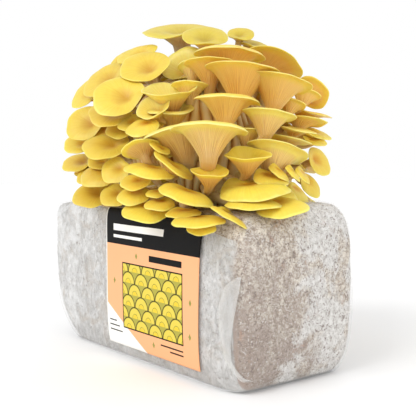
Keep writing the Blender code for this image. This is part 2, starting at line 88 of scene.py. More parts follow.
wide_light("key", KEY_LIGHT, 0.85 * TOWARD - 0.95 * RIGHT + 1.0 * UP)
wide_light("side", SIDE_LIGHT, 1.0 * TOWARD + 0.9 * RIGHT + 0.5 * UP)

surround = bpy.data.worlds.new("surround")
bpy.context.scene.world = surround
surround.use_nodes = True
surround_tree = surround.node_tree
backdrop = surround_tree.nodes["Background"]
backdrop.inputs["Color"].default_value = (1, 1, 1, 1)
fill = surround_tree.nodes.new("ShaderNodeMapRange")
fill.inputs["To Min"].default_value = SURROUND_LIGHT
seen_ray = surround_tree.nodes.new("ShaderNodeLightPath")
surround_tree.links.new(seen_ray.outputs["Is Camera Ray"], fill.inputs["Value"])
surround_tree.links.new(fill.outputs["Result"], backdrop.inputs["Strength"])
bpy.context.scene.view_settings.view_transform = "Standard"


class Finish:
    """A node material: its Principled shader, and one-line calls that add nodes to it."""

    def __init__(self, name, roughness=0.5):
        self.material = bpy.data.materials.new(name)
        self.material.use_nodes = True
        self.tree = self.material.node_tree
        self.shader = self.tree.nodes["Principled BSDF"]
        self.shader.inputs["Roughness"].default_value = roughness

    def put(self, socket, value):
        """Feeds a socket from another socket, a number or a colour."""
        if isinstance(value, bpy.types.NodeSocket):
            self.tree.links.new(value, socket)
        elif isinstance(value, tuple) and len(value) == 3 and socket.type == "RGBA":
            socket.default_value = (*value, 1.0)
        else:
            socket.default_value = value

    def node(self, kind, output=0, settings=(), **inputs):
        """Adds a node. Inputs are named, or numbered as in_0; settings are its properties."""
        made = self.tree.nodes.new(kind)
        for key, value in dict(settings).items():
            setattr(made, key, value)
        for key, value in inputs.items():
            at = int(key[3:]) if key.startswith("in_") else key.replace("_", " ").title()
            self.put(made.inputs[at], value)
        return made.outputs[output]

    def maths(self, operation, a, b=0.0):
        return self.node("ShaderNodeMath", settings={"operation": operation}, in_0=a, in_1=b)

    def plus(self, a, b):
        return self.maths("ADD", a, b)

    def minus(self, a, b):
        return self.maths("SUBTRACT", a, b)

    def times(self, a, b):
        return self.maths("MULTIPLY", a, b)

    def place(self, scale=(1, 1, 1)):
        """Object coordinates, scaled."""
        raw = self.node("ShaderNodeTexCoord", output="Object")
        return self.node("ShaderNodeMapping", in_0=raw, in_3=scale)

    def noise(self, vector, scale, detail=3.0, rough=0.5, distortion=0.0):
        return self.node("ShaderNodeTexNoise", in_0=vector, in_2=scale, in_3=detail, in_4=rough,
                         in_8=distortion)

    def ramp(self, factor, *stops):
        """A colour ramp: each stop is a place and a colour or grey value."""
        made = self.tree.nodes.new("ShaderNodeValToRGB")
        elements = made.color_ramp.elements
        while len(elements) < len(stops):
            elements.new(0.5)
        for element, (at, value) in zip(elements, stops):
            element.position = at
            element.color = (*value, 1) if isinstance(value, tuple) else (value, value, value, 1)
        self.put(made.inputs[0], factor)
        return made.outputs[0]

    def between(self, value, low, high):
        """0 below low, 1 above high and an even rise between."""
        return self.node("ShaderNodeMapRange", in_0=value, in_1=low, in_2=high)

    def mix(self, factor, a, b, blend="MIX"):
        made = self.tree.nodes.new("ShaderNodeMix")
        made.data_type = "RGBA"
        made.blend_type = blend
        self.put(made.inputs[0], factor)
        self.put(made.inputs[6], a)
        self.put(made.inputs[7], b)
        return made.outputs[2]

    def laid(self, under, value, low, high, colour, share=1.0):
        """A colour laid over another as a value goes from low to high, up to a share."""
        return self.mix(self.times(self.between(value, low, high), share), under, colour)

    def attribute(self, name, output="Fac"):
        return self.node("ShaderNodeAttribute", output=output, settings={"attribute_name": name})

    def bump(self, height, distance, strength=1.0, under=None):
        made = self.tree.nodes.new("ShaderNodeBump")
        self.put(made.inputs["Height"], height)
        made.inputs["Distance"].default_value = distance
        made.inputs["Strength"].default_value = strength
        if under:
            self.put(made.inputs["Normal"], under)
        return made.outputs[0]

    def set(self, **values):
        """Sets the shader's own sockets, named with underscores for spaces."""
        for key, value in values.items():
            self.put(self.shader.inputs[key.replace("_", " ")], value)


def srgb(red, green, blue):
    """A colour given as 0 to 255 on screen, in the linear values that the shader takes."""
    shares = (np.array([red, green, blue]) / 255 + 0.055) / 1.055
    return tuple(float(v) for v in np.maximum(shares, 0) ** 2.4)


def mesh_object(name, points, quads, triangles, fields=(), uv=None):
    """An object from arrays: points, four- and three-cornered faces, fields on its points."""
    mesh = bpy.data.meshes.new(name)
    corners = np.concatenate([quads.ravel(), triangles.ravel()]).astype(np.int32)
    sizes = np.concatenate([np.full(len(quads), 4), np.full(len(triangles), 3)]).astype(np.int32)
    mesh.vertices.add(len(points))
    mesh.vertices.foreach_set("co", points.astype(np.float32).ravel())
    mesh.loops.add(len(corners))
    mesh.loops.foreach_set("vertex_index", corners)
    mesh.polygons.add(len(sizes))
    starts = np.concatenate([[0], np.cumsum(sizes)[:-1]]).astype(np.int32)
    mesh.polygons.foreach_set("loop_start", starts)
    mesh.update(calc_edges=True)
    for key, values in dict(fields).items():
        kind, slot = ("FLOAT", "value") if values.ndim == 1 else ("FLOAT_VECTOR", "vector")
        layer = mesh.attributes.new(key, kind, "POINT")
        layer.data.foreach_set(slot, values.astype(np.float32).ravel())
    if uv is not None:
        layer = mesh.uv_layers.new(name="UVMap")
        layer.data.foreach_set("uv", uv[corners].astype(np.float32).ravel())
    mesh.shade_smooth()
    made = bpy.data.objects.new(name, mesh)
    bpy.context.scene.collection.objects.link(made)
    return made


floor_finish = Finish("floor_paint", 0.9)
floor_finish.set(Base_Color=(0.97, 0.97, 0.97))
floor_points = FLOOR_REACH * np.array([[-1, -1, 0], [1, -1, 0], [1, 1, 0], [-1, 1, 0]])
floor = mesh_object("floor", floor_points, np.array([[0, 1, 2, 3]]), np.zeros((0, 3)))
floor.data.materials.append(floor_finish.material)

# The block: sterilised sawdust that mycelium has grown right through, pressed to a loaf by
# its bag. White mycelium covers it nearly everywhere, thinner and browner at the +X end.
LOAF_LENGTH = 0.2842
LOAF_WIDTH = 0.124
LOAF_HEIGHT = 0.1293
LOAF_WAIST = 0.0785
CROWN = 0.0116
CROWN_MIDDLE = 0.65
CROWN_REACH = 0.35
TUCK = 0.024
UNDERCUT = 0.0061
END_POWER = 13.6
SIDE_POWER = 11.3
OVER_POWER = 2.9
EDGE_POWER = 9.0
UNDER_POWER = 3.5
BLOCK_INSET = 0.0013
LUMPS = 0.0007
CRUMBS = 0.00022
LUMP_DEPTHS = (-0.0022, -0.0001)
LUMP_SINK = 0.0006
GROWTH_GREY = srgb(164, 162, 159)
GROWTH_WHITE = srgb(229, 229, 228)
PITS = srgb(150, 144, 137)
CLOUDS = srgb(234, 234, 233)
SANDY = srgb(178, 164, 148)
FOOT_SHADE = srgb(150, 144, 138)
TAN_DARK = srgb(142, 120, 98)
TAN_PALE = srgb(222, 212, 196)
LOW_BROWN = srgb(128, 102, 84)
END_GREY = srgb(188, 184, 178)
END_WHITE = srgb(230, 229, 227)
THREADS = srgb(236, 234, 230)
SPECKS = srgb(98, 70, 48)
RUST = srgb(170, 116, 72)
FOLD_BROWN = srgb(150, 118, 94)
BARE_FROM = 0.1370
BARE_FULL = 0.1410
SHOULDER = 0.112


def ring_faces(rows, columns, start=0):
    """Faces between rings of points: row by row, each ring closed on itself."""
    row, column = np.mgrid[0:rows - 1, 0:columns]
    here = start + row * columns + column
    after = start + row * columns + (column + 1) % columns
    return np.stack([here, after, after + columns, here + columns], -1).reshape(-1, 4)


def fan_faces(pole, ring, columns, outward):
    """Triangles from a ring's points to one point."""
    column = np.arange(columns)
    here, after = ring + column, ring + (column + 1) % columns
    tip = np.full(columns, pole)
    return np.stack([tip, after, here] if outward else [tip, here, after], -1)


def smooth_step(low, high, value):
    """0 below low, 1 above high, and a smooth rise between."""
    share = np.clip((value - low) / (high - low), 0, 1)
    return share * share * (3 - 2 * share)


def gradient_noise(points, seed):
    """Smooth noise from -1 to 1 at each point: a random slope at each corner of a grid of
    unit cubes, and the corners' slopes blended with 6t^5 - 15t^4 + 10t^3."""
    table = np.random.default_rng(seed).permutation(256)
    slopes = np.random.default_rng(seed + 1).normal(size=(256, 3))
    slopes /= np.linalg.norm(slopes, axis=1, keepdims=True)
    cell = np.floor(points).astype(int)
    inside = points - cell
    ease = inside ** 3 * (inside * (inside * 6 - 15) + 10)
    total = np.zeros(points.shape[:-1])
    for corner in np.ndindex(2, 2, 2):
        at = (cell + corner) % 256
        mixed = table[(table[(table[at[..., 0]] + at[..., 1]) % 256] + at[..., 2]) % 256]
        slope = (slopes[mixed] * (inside - corner)).sum(-1)
        weight = np.where(np.array(corner) == 1, ease, 1 - ease).prod(-1)
        total += slope * weight
    return total * 1.6


def layered_noise(points, seed, layers=3):
    """Noise with finer, weaker noise added, each layer twice as fine and half as strong."""
    return sum(gradient_noise(points * 2 ** k, seed + 7 * k) / 2 ** k for k in range(layers))


def loaf_outline(columns):
    """Plan directions round the loaf, evenly spaced along its sides: |x|^13.6 + |y|^11.3 = 1."""
    angle = np.linspace(0, math.tau, 4001)
    x, y = np.cos(angle), np.sin(angle)
    reach = np.ones_like(angle)
    low, high = 0.5 * reach, 1.5 * reach
    for _ in range(40):
        reach = (low + high) / 2
        full = np.abs(reach * x) ** END_POWER + np.abs(reach * y) ** SIDE_POWER
        low, high = np.where(full < 1, reach, low), np.where(full < 1, high, reach)
    x, y = x * reach, y * reach
    steps = np.hypot(np.diff(x) * LOAF_LENGTH, np.diff(y) * LOAF_WIDTH)
    along = np.concatenate([[0], np.cumsum(steps)]) / steps.sum()
    wanted = np.arange(columns) / columns
    return np.interp(wanted, along, x), np.interp(wanted, along, y)


def crown_above(x, y, inset):
    """How far the loaf's top lies above its waist: it swells towards the +X end."""
    swell = 0.5 + 0.5 * np.sin(np.pi / 2 * np.clip((x - CROWN_MIDDLE) / CROWN_REACH, -1, 1))
    return LOAF_HEIGHT - LOAF_WAIST - inset + CROWN * swell * (0.65 + 0.35 * y)


def rise_power(x, y, z):
    """The power n of height: 3.5 below the waist and 2.9 above it, where it grows by 9
    towards the label's side with the square of the slope -y / z, for a squarer edge. That
    fades out along X, from -0.15 to 0.25 of the half length, where the mushrooms lean out."""
    slope = np.clip(-y / np.maximum(np.abs(z), 1e-6), 0, 1)
    along = x / np.maximum(np.maximum(np.abs(y), np.abs(z)), 1e-6)
    square = EDGE_POWER * slope ** 2 * (1 - smooth_step(-0.15, 0.25, along))
    return np.where(z > 0, OVER_POWER + square, UNDER_POWER)


def loaf_points(x, y, z, inset):
    """Points on the loaf in the directions x, y, z: each direction is lengthened until
    |x|^13.6 + |y|^11.3 + |z|^n = 1. Then the top is swelled, the underside cut flat and
    the lower -X end drawn in."""
    power = rise_power(x, y, z)
    low, high = np.full(x.shape, 0.3), np.full(x.shape, 2.5)
    for _ in range(40):
        middle = (low + high) / 2
        full = np.abs(middle * x) ** END_POWER + np.abs(middle * y) ** SIDE_POWER
        full = full + np.abs(middle * z) ** power
        low, high = np.where(full < 1, middle, low), np.where(full < 1, high, middle)
    x, y, z = x * low, y * low, z * low
    depth = np.where(z > 0, crown_above(x, y, inset), LOAF_WAIST - inset + UNDERCUT)
    drawn = TUCK * z * z * np.clip(-x * 1.2, 0, 1) ** 6 * (z < 0)
    across = x * (LOAF_LENGTH / 2 - inset) + drawn
    height = np.maximum(LOAF_WAIST + z * depth, inset)
    return np.stack([across, y * (LOAF_WIDTH / 2 - inset), height], -1)


def loaf_grid(columns, under, side, over, inset, opening=0.04):
    """The loaf's skin as rings, from the middle of the underside, up the sides and in over
    the top to a share of the way from the middle, where the film has its opening."""
    x, y = loaf_outline(columns)
    width = np.concatenate([np.linspace(0.04, 1, under, endpoint=False), np.ones(side),
                            np.linspace(1, opening, over + 1)[1:]])
    height = np.concatenate([np.full(under, -1), np.sin(np.linspace(-np.pi / 2, np.pi / 2, side)),
                             np.ones(over)])
    return loaf_points(width[:, None] * x, width[:, None] * y, height[:, None] + 0 * x, inset)


def ring_normals(grid):
    """Unit normals of closed rings of points: the cross product of the grid's two slopes."""
    around = np.roll(grid, -1, axis=1) - np.roll(grid, 1, axis=1)
    normal = np.cross(around, np.gradient(grid, axis=0))
    return normal / np.maximum(np.linalg.norm(normal, axis=-1, keepdims=True), 1e-12)


def with_ends(rings):
    """The rings' values in one row, then the mean of the first ring and of the last."""
    return np.concatenate([rings.reshape(-1, *rings.shape[2:]), rings[[0, -1]].mean(1)])


def closed_skin(name, grids, fields=()):
    """An object of closed skins, each of rings of points with a point in the middle of its
    first and last ring. Fields give a list of values for each grid's points."""
    quads, triangles, start = [], [], 0
    for grid in grids:
        rows, columns = grid.shape[:2]
        last = start + rows * columns
        quads.append(ring_faces(rows, columns, start))
        triangles.append(fan_faces(last, start, columns, True))
        triangles.append(fan_faces(last + 1, last - columns, columns, False))
        start = last + 2
    points = np.concatenate([with_ends(grid) for grid in grids])
    values = {key: np.concatenate([with_ends(field) for field in each])
              for key, each in dict(fields).items()}
    return mesh_object(name, points, np.concatenate(quads), np.concatenate(triangles), values)


grid = loaf_grid(360, 14, 90, 40, BLOCK_INSET)
lumps = layered_noise(grid * 60, 11) * LUMPS + layered_noise(grid * 320, 12, 2) * CRUMBS
lumps = np.clip(lumps - LUMP_SINK, *LUMP_DEPTHS) * smooth_step(0.002, 0.006, grid[..., 2])
grid += ring_normals(grid) * lumps[..., None]
block = closed_skin("block", [grid])

mycelium = Finish("mycelium", 0.9)
here = mycelium.place()
block_x = mycelium.node("ShaderNodeSeparateXYZ", in_0=here)
block_y, block_z = block_x.node.outputs[1], block_x.node.outputs[2]
cloud = mycelium.noise(here, 26, 5, 0.6, 0.4)
patch = mycelium.noise(here, 58, 5, 0.7, 0.8)
fine = mycelium.noise(here, 330, 3, 0.75, 0.5)
speck = mycelium.noise(here, 400, 1, 0.6, 1.6)
thread = mycelium.noise(here, 300, 2, 0.7, 3.0)
streak = mycelium.noise(mycelium.place((1, 1, 0.55)), 170, 5, 0.75, 1.0)
# white growth with pits, whiter clouds and thin, sandy patches, and painted shade that greys it
# towards the foot
skin = mycelium.mix(mycelium.between(streak, 0.34, 0.66), GROWTH_GREY, GROWTH_WHITE)
skin = mycelium.laid(skin, fine, 0.44, 0.34, PITS)
skin = mycelium.laid(skin, cloud, 0.46, 0.36, CLOUDS, 0.7)
skin = mycelium.laid(skin, patch, 0.50, 0.66, SANDY, 0.6)
# painted shade: the skin is greyed over its lowest 22 mm
skin = mycelium.laid(skin, block_z, 0.022, 0.003, FOOT_SHADE, 0.4)
# the bare end: tan, browner low down, with white growth towards the back and loose grains
tan = mycelium.mix(mycelium.between(fine, 0.38, 0.60), TAN_DARK, TAN_PALE)
behind = mycelium.plus(mycelium.times(block_y, 2.5), mycelium.times(block_z, 3))
tan = mycelium.laid(tan, mycelium.minus(patch, behind), 0.24, 0.50, LOW_BROWN, 0.75)
growth = mycelium.plus(cloud, mycelium.times(block_y, 1.8))
white = mycelium.mix(mycelium.between(fine, 0.34, 0.60), END_GREY, END_WHITE)
tan = mycelium.laid(tan, growth, 0.52, 0.60, white, 0.85)
tan = mycelium.laid(tan, thread, 0.60, 0.66, THREADS, 0.8)
tan = mycelium.laid(tan, speck, 0.60, 0.64, SPECKS, 0.85)
tan = mycelium.laid(tan, patch, 0.62, 0.70, RUST, 0.5)
# it reaches a little way round the corner, and over the top beside the mushrooms
above = mycelium.maths("MAXIMUM", mycelium.minus(block_z, SHOULDER), 0)
bare = mycelium.plus(block_x, mycelium.times(above, 6))
bare = mycelium.plus(bare, mycelium.times(cloud, 0.02))
skin = mycelium.laid(skin, bare, BARE_FROM, BARE_FULL, tan)
# a brown line on the block beside the film's fold
line = mycelium.times(mycelium.between(block_x, 0.1272, 0.1282),
                      mycelium.between(block_x, 0.1318, 0.1300))
line = mycelium.times(line, mycelium.between(block_z, 0.080, 0.060))
line = mycelium.times(line, mycelium.between(block_y, -0.030, -0.050))
skin = mycelium.mix(mycelium.times(line, 0.7), skin, FOLD_BROWN)
mycelium.set(Base_Color=skin, Normal=mycelium.bump(fine, 0.0016, 0.9))
block.data.materials.append(mycelium.material)
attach(block, "root")
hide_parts("substrate_block")

# The bag: thin clear polypropylene film that clings to the block, closed below and at the
# ends, and cut open on top where the cluster came out. Its wrinkles catch the light.
OPENING_SHARE = 0.40
FILM_THICK = 0.0003
WRINKLE_FROM = 0.82
WRINKLE_PROUD = 0.0006
FILM_PUFF = 0.0003

outer = loaf_grid(330, 8, 90, 30, 0.0, OPENING_SHARE)
wrinkle = 1 - np.abs(layered_noise(outer * np.array([22, 22, 14]), 31, 2))
wrinkle = np.maximum(wrinkle - WRINKLE_FROM, 0) / (1 - WRINKLE_FROM)
puff = layered_noise(outer * 34, 37, 2)
lift = (WRINKLE_PROUD * wrinkle ** 2 + FILM_PUFF * puff) * smooth_step(0.0, 0.008, outer[..., 2])
outer += ring_normals(outer) * lift[..., None]
outer[..., 2] = np.maximum(outer[..., 2], 0)
inner = outer - ring_normals(outer) * FILM_THICK
bag = closed_skin("bag_film", [np.concatenate([outer, inner[::-1]])])

film = Finish("film", 0.22)
here = film.place()
streak = film.noise(film.place((1, 1, 0.35)), 60, 4, 0.6, 1.2)
crumple = film.noise(here, 180, 3, 0.6, 0.8)
haze = film.mix(film.ramp(streak, (0.35, 0.0), (0.7, 1.0)), srgb(225, 225, 226),
                srgb(250, 250, 250))
film.set(Base_Color=haze, Alpha=0.09, IOR=1.49,
         Normal=film.bump(crumple, 0.0006, 0.5, film.bump(streak, 0.002, 0.5)))
bag.data.materials.append(film.material)
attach(bag, "root")
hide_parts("bag")

# The label: a printed sheet of coated paper, stuck to the film of the long face and bent
# with it over the upper edge. Its print is plain bars, a frame and rows of half rounds.
LABEL_X = (-0.0337, 0.0967)
LABEL_Z = (0.0115, 0.1268)
LABEL_SLANT = 0.0045
LABEL_PROUD = 0.0010
LABEL_THICK = 0.0006
LABEL_EASE = 1.45
PRINT_SCALE = 10


def front_face(x, height, proud):
    """Points of the loaf's long -Y face at x and height, moved out by proud: y follows
    from |x|^13.6 + |y|^11.3 + |z|^n = 1, the swell and n being found in a few rounds."""
    x_share = x / (LOAF_LENGTH / 2 + proud)
    y_share = np.full(np.broadcast(x, height).shape, -1.0)
    for _ in range(6):
        above = crown_above(x_share, y_share, -proud)
        below = LOAF_WAIST + proud + UNDERCUT
        z_share = (height - LOAF_WAIST) / np.where(height > LOAF_WAIST, above, below)
        power = rise_power(x_share, y_share, z_share)
        left = 1 - np.abs(x_share) ** END_POWER - np.abs(z_share) ** power
        y_share = -np.maximum(left, 0.001) ** (1 / SIDE_POWER)
    y = y_share * (LOAF_WIDTH / 2 + proud)
    return np.stack([x + 0 * y, y, height + 0 * y], -1)


def thin_sheet(name, front, back, uv=None):
    """A closed sheet from two open grids of points: both faces and a strip all round."""
    rows, columns = front.shape[:2]
    index = np.arange(rows * columns).reshape(rows, columns)
    face = np.stack([index[:-1, :-1], index[:-1, 1:], index[1:, 1:], index[1:, :-1]], -1)
    face = face.reshape(-1, 4)
    edge = np.concatenate([index[0], index[1:, -1], index[-1, -2::-1], index[-2:0:-1, 0]])
    after = np.roll(edge, -1)
    size = rows * columns
    strip = np.stack([after, edge, edge + size, after + size], -1)
    quads = np.concatenate([face, face[:, ::-1] + size, strip])
    points = np.concatenate([front.reshape(-1, 3), back.reshape(-1, 3)])
    if uv is not None:
        uv = np.concatenate([uv.reshape(-1, 2)] * 2)
    return mesh_object(name, points, quads, np.zeros((0, 3), int), (), uv)


rise = np.linspace(0, 1, 120)[:, None]
label_width = LABEL_X[1] - LABEL_X[0] - LABEL_SLANT * (1 - rise)
across = LABEL_X[0] + np.linspace(0, 1, 180) * label_width
climb = np.sin(rise * LABEL_EASE) / math.sin(LABEL_EASE)
height = LABEL_Z[0] + (LABEL_Z[1] - LABEL_Z[0]) * climb
front = front_face(across, height, LABEL_PROUD)
back = front_face(across, height, LABEL_PROUD - LABEL_THICK)
label = thin_sheet("label_sheet", front, back, front[..., [0, 2]] * PRINT_SCALE)

PEACH = srgb(249, 182, 134)
INK = srgb(9, 8, 8)
OLIVE = srgb(150, 150, 78)
PAPER_WHITE = srgb(245, 244, 240)
BAND_FROM = 0.0972
PANEL = (-0.0078, 0.0735, 0.0287, 0.0818)
PANEL_LINE = 0.0011
ROUND_WIDE = 0.0190
HALF_ROUNDS = [  # share of the half width from which each colour is printed
    (0.0, srgb(233, 202, 62)),
    (0.34, srgb(248, 228, 96)),
    (0.36, srgb(92, 84, 30)),
    (0.40, srgb(226, 206, 84)),
    (0.86, srgb(204, 190, 78)),
    (0.90, srgb(70, 62, 26)),
    (1.0, srgb(176, 168, 74)),
]
BARS_WHITE = [(-0.022, 0.048, 0.1085, 0.1140), (-0.022, 0.020, 0.1025, 0.1050),
              (LABEL_X[0] - 0.001, LABEL_X[0] + 0.0012, 0.0, 0.2)]
BARS_INK = [(0.030, 0.0735, 0.0870, 0.0920), (0.044, 0.0735, 0.0222, 0.0234),
            (0.056, 0.0735, 0.0187, 0.0199), (-0.030, -0.019, 0.0312, 0.0322),
            (-0.030, -0.015, 0.0270, 0.0280), (-0.030, -0.011, 0.0228, 0.0238)]
CORNER = (0.0572, 0.0353)
DIAMOND_SLIM = 1.6
DIAMOND_HIGH = 0.0028
DIAMONDS = [(0.084, 0.062), (0.083, 0.036), (-0.021, 0.066), (0.034, 0.0205), (0.012, 0.0895)]

paper = Finish("label_paper", 0.55)
flat = paper.node("ShaderNodeSeparateXYZ", in_0=paper.node("ShaderNodeTexCoord", output="UV"))
at_x = paper.maths("DIVIDE", flat, PRINT_SCALE)
at_z = paper.maths("DIVIDE", flat.node.outputs[1], PRINT_SCALE)


def within(value, low, high):
    """1 where a value lies from low to high, 0 elsewhere."""
    return paper.node("ShaderNodeMath", settings={"operation": "COMPARE"}, in_0=value,
                      in_1=(low + high) / 2, in_2=(high - low) / 2)


def bar_mask(low_x, high_x, low_z, high_z):
    """1 inside a box of the label's print, 0 outside."""
    return paper.times(within(at_x, low_x, high_x), within(at_z, low_z, high_z))


rows_up = paper.maths("DIVIDE", at_z, ROUND_WIDE / 2)
row = paper.maths("FLOOR", rows_up)
shift = paper.times(paper.maths("MODULO", row, 2.0), 0.5)
turn = paper.plus(paper.maths("DIVIDE", at_x, ROUND_WIDE), paper.plus(shift, 20))
round_x = paper.maths("ABSOLUTE", paper.minus(paper.maths("FRACT", turn), 0.5))
round_z = paper.times(paper.maths("FRACT", rows_up), 0.5)
square = paper.plus(paper.maths("POWER", round_x, 2), paper.maths("POWER", round_z, 2))
distance = paper.maths("SQRT", square)
rounds = paper.ramp(paper.times(distance, 2), *HALF_ROUNDS)
rounds.node.color_ramp.interpolation = "CONSTANT"
printed = paper.mix(paper.maths("GREATER_THAN", at_z, BAND_FROM), PEACH, INK)
corner_x = paper.maths("DIVIDE", paper.minus(at_x, LABEL_X[0]), CORNER[0])
corner_z = paper.maths("DIVIDE", paper.minus(at_z, LABEL_Z[0]), CORNER[1])
in_corner = paper.maths("LESS_THAN", paper.plus(corner_x, corner_z), 1)
printed = paper.mix(in_corner, printed, PAPER_WHITE)
for bar in BARS_WHITE:
    printed = paper.mix(bar_mask(*bar), printed, PAPER_WHITE)
for bar in BARS_INK:
    printed = paper.mix(bar_mask(*bar), printed, INK)
frame_box = np.array(PANEL) + PANEL_LINE * np.array([-1, 1, -1, 1])
printed = paper.mix(bar_mask(*frame_box), printed, INK)
printed = paper.mix(bar_mask(*PANEL), printed, rounds)
for x, z in DIAMONDS:
    off_x = paper.maths("ABSOLUTE", paper.minus(at_x, x))
    off_z = paper.maths("ABSOLUTE", paper.minus(at_z, z))
    off = paper.plus(paper.times(off_x, DIAMOND_SLIM), off_z)
    printed = paper.mix(paper.maths("LESS_THAN", off, DIAMOND_HIGH), printed, OLIVE)
grain = paper.noise(paper.place(), 300, 3)
paper.set(Base_Color=printed, Specular_IOR_Level=0.15, Normal=paper.bump(grain, 0.0002, 0.3))
label.data.materials.append(paper.material)
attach(label, "root")
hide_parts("label")

# The fold: the film's end is closed like a parcel's, and one flap of it lies doubled on the
# label's side, close to the corner. Two layers of film look whiter than one.
FOLD_EDGES = np.array([  # height, left edge, right edge
    [0.0125, 0.1330, 0.1367],
    [0.0271, 0.1217, 0.1282],
    [0.0402, 0.1190, 0.1282],
    [0.0616, 0.1151, 0.1323],
    [0.0796, 0.1228, 0.1357],
    [0.0880, 0.1345, 0.1367],
])
FOLD_PROUD = 0.0009
FOLD_PUFF = 0.0007

height = np.linspace(FOLD_EDGES[0, 0], FOLD_EDGES[-1, 0], 90)[:, None]
share = np.linspace(0, 1, 24)[None, :]
left_edge = np.interp(height, FOLD_EDGES[:, 0], FOLD_EDGES[:, 1])
right_edge = np.interp(height, FOLD_EDGES[:, 0], FOLD_EDGES[:, 2])
across = left_edge + share * (right_edge - left_edge)
buckle = layered_noise(np.stack([across, 0 * across, height + 0 * across], -1) * 90, 41, 2)
puff = FOLD_PUFF * np.sin(np.pi * share) ** 2 * (1 + 0.6 * buckle)
fold = thin_sheet("film_fold", front_face(across, height, FOLD_PROUD + puff),
                  front_face(across, height, FOLD_PROUD + puff - FILM_THICK))

doubled = Finish("doubled_film", 0.2)
crease = doubled.noise(doubled.place((1, 1, 0.3)), 120, 3, 0.6, 1.0)
doubled.set(Base_Color=doubled.mix(crease, srgb(214, 212, 208), srgb(242, 242, 240)), Alpha=0.3,
            Normal=doubled.bump(crease, 0.001, 0.6))
fold.data.materials.append(doubled.material)
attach(fold, "root")
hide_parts("bag")

# The stem base: the mass of stems that have grown together where the cluster leaves the
# block. It is seen only in the gaps between the mushrooms. Its grooves are painted darker,
# tan to brown, as shade.
CLUSTER_ACROSS = 0.008
CLUSTER_AXIS = CLUSTER_ACROSS * RIGHT
BASE_RINGS = np.array([[0.1188, 0.040, 0.034], [0.1328, 0.048, 0.042], [0.152, 0.064, 0.056],
                       [0.178, 0.070, 0.062], [0.206, 0.060, 0.052], [0.230, 0.038, 0.034],
                       [0.242, 0.010, 0.010]])
BASE_HEART = 0.1588
STEM_PAIRS = 24
STEM_GROOVE = 0.085
BASE_INSET = 0.99
BASE_BULGE = 0.02
STEM_BENDS = [(3, 45, 0.06), (7, -90, 0.03)]
STEM_PALE = srgb(236, 214, 156)
STEM_CREAM = srgb(224, 186, 112)
STEM_SHADE_TAN = srgb(196, 138, 62)
STEM_SHADE_BROWN = srgb(146, 98, 44)

angle = np.linspace(0, math.tau, 624, endpoint=False)[None, :]
level = np.linspace(BASE_RINGS[0, 0], BASE_RINGS[-1, 0], 60)[:, None]
wide = np.interp(level, BASE_RINGS[:, 0], BASE_RINGS[:, 1])
deep = np.interp(level, BASE_RINGS[:, 0], BASE_RINGS[:, 2])
bend = sum(share * np.sin(k * angle + twist * level) for k, twist, share in STEM_BENDS)
rounded = np.abs(np.sin(STEM_PAIRS * (angle + bend))) ** 0.6
reach = BASE_INSET - STEM_GROOVE * (1 - rounded) + BASE_BULGE * np.cos(5 * angle + 60 * level)
grid = (CLUSTER_AXIS + (wide * reach * np.cos(angle))[..., None] * RIGHT
        - (deep * reach * np.sin(angle))[..., None] * TOWARD + (level + 0 * angle)[..., None] * UP)
base = closed_skin("joined_stems", [grid], {"groove_shade": [1 - rounded]})

stems = Finish("stem_flesh", 0.6)
mottle = stems.noise(stems.place((1, 1, 0.3)), 160, 4, 0.6)
# painted shade: the deeper into a groove between the joined stems, the darker the flesh, from pale
# through cream and tan to brown
groove_shade = stems.plus(stems.attribute("groove_shade"), stems.times(stems.minus(mottle, 0.5), 0.5))
flesh = stems.ramp(groove_shade, (0.0, STEM_PALE), (0.40, STEM_CREAM), (0.70, STEM_SHADE_TAN),
                   (0.95, STEM_SHADE_BROWN))
stems.set(Base_Color=flesh, Normal=stems.bump(mottle, 0.001, 0.6), Subsurface_Weight=0.15,
          Subsurface_Scale=0.004)
base.data.materials.append(stems.material)
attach(base, "root")
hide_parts("stem_base")

# The mushrooms: golden oysters, each a thin-fleshed cap on a stem that joins it off centre,
# with gills that run down the stem. A cap is placed by where the photograph shows it.
MM = 0.001
Form = namedtuple("Form", "depth steep roll flare aside short rising")
FORMS = {
    "plate": Form(0.16, 2.6, 0.12, 0.50, 0.28, 0.15, 0.45),
    "pillow": Form(0.10, 2.2, 0.32, 0.42, 0.40, 0.25, 0.45),
    "shelf": Form(0.08, 2.2, 0.22, 0.20, 0.55, 0.30, 0.12),
    "fan": Form(0.78, 1.25, 0.30, 0.55, 0.05, 0.50, 0.45),
    "lip": Form(0.78, 1.25, 0.44, 0.55, 0.05, 0.50, 0.45),
    "funnel": Form(0.75, 1.3, 0.06, 0.45, 0.08, 0.15, 0.45),
}
NECK = 0.24
STEM = 0.17
HEART_REACH = (0.056, 0.050, 0.052)
FOOT_DEPTH = 0.60
FOOT_LOWEST = 0.142
STEM_RISE = 0.010
FORK = 0.70
FLESH_FADE = 2.3
ROLL_POWER = 4.5
THROAT_SOFT = 0.12
PHASE_STEPS = (12.9898, 78.233)
LOBES = [(2, 0.026), (3, 0.026), (5, 0.026), (7, 0.004), (11, 0.004)]
RUFFLES = [(2, 0.04), (3, 0.03), (4, 0.02)]
FRILLS = [(6, 0.006), (9, 0.006)]
RIM_THICK = 0.0018
RIM_ROUND = 12
FOOT_HANDLE = 0.35
NECK_HANDLE = 0.30
UPRIGHT_MOST = 0.95
UPRIGHT_GAIN = 1.1
UPRIGHT_BELOW = 0.3
NECK_GUESS = 0.5
SMALL_CAP = 0.016
SMALL_RINGS = (9, 20, 16)
LARGE_RINGS = (12, 26, 20)
THROAT_CLOSED = 0.98
STEM_SWELL = 0.05
STEM_BLEND = (0.35, 1.0)
GILL_SEEDS = 500
LEAST_GILLS = 14
GILLS_ROUND = 0.6
GILL_GAP = 0.0024
GILL_DEEP = 0.0005
GILL_SHARE = 0.30
GILL_FADE = (0.60, 0.86)
SHORT_FROM = (0.26, 0.50)
SHORT_RISE = 0.08

